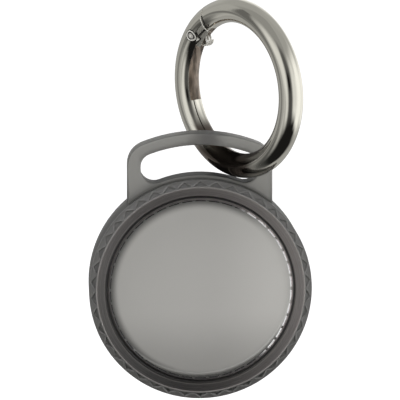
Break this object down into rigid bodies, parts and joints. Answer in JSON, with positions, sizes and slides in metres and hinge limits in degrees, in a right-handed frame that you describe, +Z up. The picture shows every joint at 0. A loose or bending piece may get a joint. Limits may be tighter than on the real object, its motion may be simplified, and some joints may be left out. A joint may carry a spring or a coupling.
{
  "type": "tracker tag holder",
  "caption": "Soft round case that holds a coin-shaped tracking tag, with a slotted hanging loop and a spring-gate ring through it.",
  "frame": {"origin": "on the axis of the round case, in the middle of the loop's thickness", "axes": "+X to the right, +Y away from the viewer towards the case's back, +Z up towards the loop and the ring"},
  "size_m": [0.0372, 0.0246, 0.0675],
  "materials": {
    "smoke_case": "translucent smoke grey, smooth and flexible",
    "ring_metal": "polished nickel plating",
    "pin_metal": "polished rivet head",
    "spring_steel": "bright spring wire"
  },
  "bodies": {
    "case": {"shell": "smoke_case"},
    "ring": {"ring_body": "ring_metal", "hinge_pin": "pin_metal", "gate_spring": "spring_steel"},
    "gate": {"gate": "ring_metal"}
  },
  "joints": [
    {"name": "ring_turn", "type": "hinge", "parent": "case", "child": "ring", "pos_m": [0.00644, -0.0015, 0.0338], "axis": [-0.788, -0.6157, 0], "range_deg": [-180, 180]},
    {"name": "gate_open", "type": "hinge", "parent": "ring", "child": "gate", "pos_m": [0.00038, 0.00626, 0.04149], "axis": [-0.788, -0.6157, 0], "range_deg": [0, 25], "stiffness_Nm_per_rad": 0.004, "springref_deg": -17.19, "deforming": ["gate_spring"]}
  ]
}
